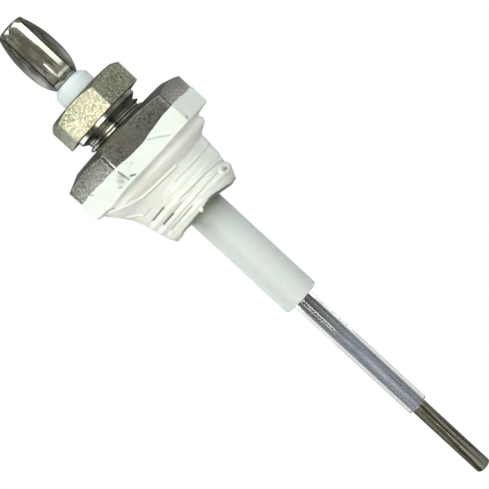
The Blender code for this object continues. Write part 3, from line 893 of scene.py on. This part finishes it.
def tape_ends(around):
    """How far the edge on the hexagon and the torn end on the boss stand up, at each azimuth."""
    edge = 0.18 * lobe(around, 309.0, 18.0) - 0.48 * lobe(around, 270.0, 26.0)
    edge = edge + 0.05 * ripple(around, 9.0) + 0.03 * ripple(around, 23.0, 50.0)
    torn = 0.10 + 0.80 * lobe(around, 285.0, 22.0) + 0.45 * lobe(around, 242.0, 28.0)
    torn = torn + 0.30 * lobe(around, 110.0, 40.0)
    torn = torn + 0.04 * ripple(around, 13.0) + 0.015 * ripple(around, 37.0, 30.0)
    return edge, torn


def hung(level, edge, torn):
    """Height of the rows of the wrap, drawn along by its edge and its torn end."""
    return level + edge * step(level, 0.8, TAPE_EDGE) + torn * step(-level, 5.0, -TAPE_END)


def wrap_radius(around, z, hexagon):
    """The wrap's own shape: the three outlines blended round the axis, and the hexagon above them."""
    right, left = lobe(around, *RIGHT_SIDE), lobe(around, *LEFT_SIDE)
    front = np.clip(1.0 - right - left, 0.0, 1.0)
    skin = outline_radius(TAPE_FRONT, z) * front + outline_radius(TAPE_RIGHT, z) * right
    skin = (skin + outline_radius(TAPE_LEFT, z) * left) / (front + right + left)
    return skin + (hexagon - skin) * step(z, -0.60, 0.02)


def thread_relief(around, z):
    """Turns of the hidden thread, which show through most where the wrap was pulled tight."""
    phase = (z - CREST_AT[1]) / BOSS_PITCH - turn_from(around, CREST_AT[0]) / 360.0
    tight = step(-z, 5.0, 6.4) * (1.0 - step(-z, 8.6, 9.2)) * (0.22 + 0.60 * lobe(around, 240.0, 42.0))
    return np.cos(phase * math.tau) * tight


def swelling(around, level):
    """Soft swellings round the wrap with fine slanting wrinkles, and little of either on the hexagon."""
    loose = step(-level, 0.2, 1.0)
    wrap = 0.035 * wander(around, level, 2.0, 2.2, 5) + 0.016 * wander(around, level, 6.0, 9.0, 8)
    return wrap * loose + 0.012 * wander(around, level, 3.0, 2.0, 2) * (1.0 - loose)


def shading(around, level, z):
    """Tone of the wrap: painted highlights on the roll and in the valleys beside it, painted shade and
    highlight over the hidden thread, its own random tone and two real smudges, and a torn end darker at the
    front.
    """
    # painted highlights: the valley under the band, the roll and the fold below it are paled
    tone = -0.9 * bell(z, -0.30, 0.32) * (1.0 - 0.6 * lobe(around, *LEFT_SIDE))
    tone = tone - 0.62 * bell(z, -1.25, 0.50) - 0.85 * bell(z, -2.0, 0.70) + 0.04 * step(z, 0.0, 0.3)
    # the random tone is its own; painted shade and highlight follow the crests of the thread that shows
    # through
    tone = tone + 0.06 * wander(around, level, 3.0, 1.5, 11) - 0.12 * thread_relief(around, z)
    spots = wander(around, level, 22.0, 2.5, 21)
    tone = tone + 0.50 * lobe(around, 245.0, 5.0) * bell(z, 1.25, 0.85) * step(spots, -0.9, 0.3)
    tone = tone + 0.30 * lobe(around, 253.0, 4.0) * bell(z, 1.0, 0.8) * step(spots, -0.1, 0.6)
    # the last rows at the torn end are darker, most of all at the front
    return tone + (0.30 + 0.75 * lobe(around, 282.0, 58.0)) * step(-level, 10.05, 10.30)


def knot(around, z):
    """Height and tone of a puckered knot, where the end of the tape was pressed down: painted shade in its
    slit and inside its rim, and a painted highlight on the rim.
    """
    across = turn_from(around, KNOT_AT[0]) * KNOT_R * math.pi / 180.0
    along = z - KNOT_AT[1]
    ring = np.sqrt((across / 1.05) ** 2 + (along / 0.66) ** 2)
    height = 0.16 * bell(ring, 0.90, 0.30) - 0.18 * bell(ring, 0.0, 0.50)
    tone = 0.95 * bell(across, 0.25, 0.42) * bell(along, -0.02, 0.17)
    return height, tone + 0.35 * bell(ring, 0.62, 0.16) - 0.4 * bell(ring, 1.0, 0.2)


def tape_surface(around, level, z, hexagon):
    """Radius and tone of the outside of the tape."""
    knot_height, knot_tone = knot(around, z)
    radius = wrap_radius(around, z, hexagon) + 0.10 * thread_relief(around, z) + swelling(around, level)
    radius = radius + knot_height
    tone = shading(around, level, z) + knot_tone
    for path, width, rise, colour in TAPE_CREASES:
        near = near_path(around, z, path, width)
        radius = radius + rise * near
        tone = tone + colour * near
    # the last turn covers the boss
    cover = BOSS_CREST_R + (z - BOSS_END) * BOSS_TAPER + 0.14
    radius = np.where((z > BOSS_END - 0.05) & (z < 0.0), np.maximum(radius, cover), radius)
    return radius, tone


def make_tape(materials):
    """Tape wound over the boss and turned up over the edge of the hexagon."""
    levels = np.concatenate([np.linspace(TAPE_EDGE, 0.40, 24), np.linspace(0.32, -0.60, 26),
                             np.linspace(-0.68, -9.7, 114), np.linspace(-9.78, TAPE_END, 12)])
    degrees = np.arange(TAPE_COLUMNS) * 360.0 / TAPE_COLUMNS
    around, level = np.meshgrid(degrees, levels, indexing="ij")
    edge, torn = tape_ends(around)
    z = hung(level, edge, torn)
    hexagon = np.array([hexagon_radius(d, BODY_FLATS, BODY_CORNER, 0.55) for d in degrees])[:, None] + 0.13
    radius, tone = tape_surface(around, level, z, hexagon)

    lining = np.linspace(TAPE_END, TAPE_EDGE, 20)[None, :]
    lining_z = hung(lining, edge[:, :1], torn[:, :1])
    boss = BOSS_CREST_R + np.maximum(lining_z - BOSS_END, 0.0) * BOSS_TAPER + 0.05
    boss = np.minimum(boss, radius.min(axis=1)[:, None] - TAPE_SKIN)
    lining_r = np.where(lining > 0.0, hexagon - TAPE_SKIN, boss)
    radii = np.concatenate([radius, lining_r], axis=1)
    heights = np.concatenate([z, lining_z], axis=1)
    # painted shade: the inside of the tape is darker
    tones = np.concatenate([tone, np.full(lining_z.shape, 0.5)], axis=1)
    points = turn_grid(np.radians(degrees), radii, heights)
    obj = new_object("thread_tape_wound", points, ring_faces(TAPE_COLUMNS, radii.shape[1]), materials,
                     "fitting", 70.0, tone=tones.ravel())
    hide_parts("thread_tape")


def make_bead(material):
    """A drop of sealant on the torn end of the tape."""
    bm = bmesh.new()
    bmesh.ops.create_icosphere(bm, subdivisions=4, radius=BEAD_R * MM)
    for vert in bm.verts:
        vert.co *= 1.0 + 0.05 * math.sin(vert.co.z / MM * 9.0) * math.cos(vert.co.x / MM * 7.0)
    degrees, height = BEAD_AT
    angle = math.radians(degrees)
    place = Vector((BEAD_OUT * math.cos(angle), BEAD_OUT * math.sin(angle), height)) * MM
    bmesh.ops.translate(bm, verts=bm.verts, vec=place)
    mesh = bpy.data.meshes.new("sealant_bead")
    bm.to_mesh(mesh)
    bm.free()
    mesh.shade_smooth()
    mesh.materials.append(material)
    obj = bpy.data.objects.new("sealant_bead", mesh)
    bpy.context.scene.collection.objects.link(obj)
    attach(obj, "fitting")


# ---------------------------------------------------------------- the scene

bpy.context.scene.view_settings.view_transform = "Standard"
make_camera()
make_world()
make_stage()

steel = cast_metal("cast_steel", (0.12, 0.117, 0.096), (0.32, 0.315, 0.275), (0.27, 0.265, 0.22),
                   smooth=0.28, rough=0.38, relief=0.04)
plated = cast_metal("plated_casting", (0.20, 0.20, 0.12), (0.52, 0.52, 0.42), (0.47, 0.47, 0.37),
                    smooth=0.25, rough=0.36, relief=0.095)
machined = turned_steel()
nickel = nickel_plate()
wire = drawn_wire()
white_sleeve = sleeve_ptfe()
clear = clear_plastic()
tape = tape_ptfe()
ring_ptfe = moulded_ptfe()
brass = turned_brass()

NODE_MATERIALS = {
    "electrode_rod": wire, "clear_tube": clear, "insulator_sleeve": white_sleeve, "terminal_pin": nickel,
    "terminal_spring": nickel, "gland_nut": plated, "thrust_washer": brass, "gland_follower": brass,
    "packing_ring_upper": ring_ptfe, "packing_ring_middle": ring_ptfe, "packing_ring_lower": ring_ptfe,
    "packing_seat_ring": brass, "body_fitting": steel, "thread_tape": tape,
}
for node, material in NODE_MATERIALS.items():
    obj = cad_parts[node]
    obj.data.materials.clear()
    obj.data.materials.append(material)

make_nut([plated, machined])
make_body([steel, machined])
make_spring(nickel)
make_tape([tape])
make_bead(sealant())
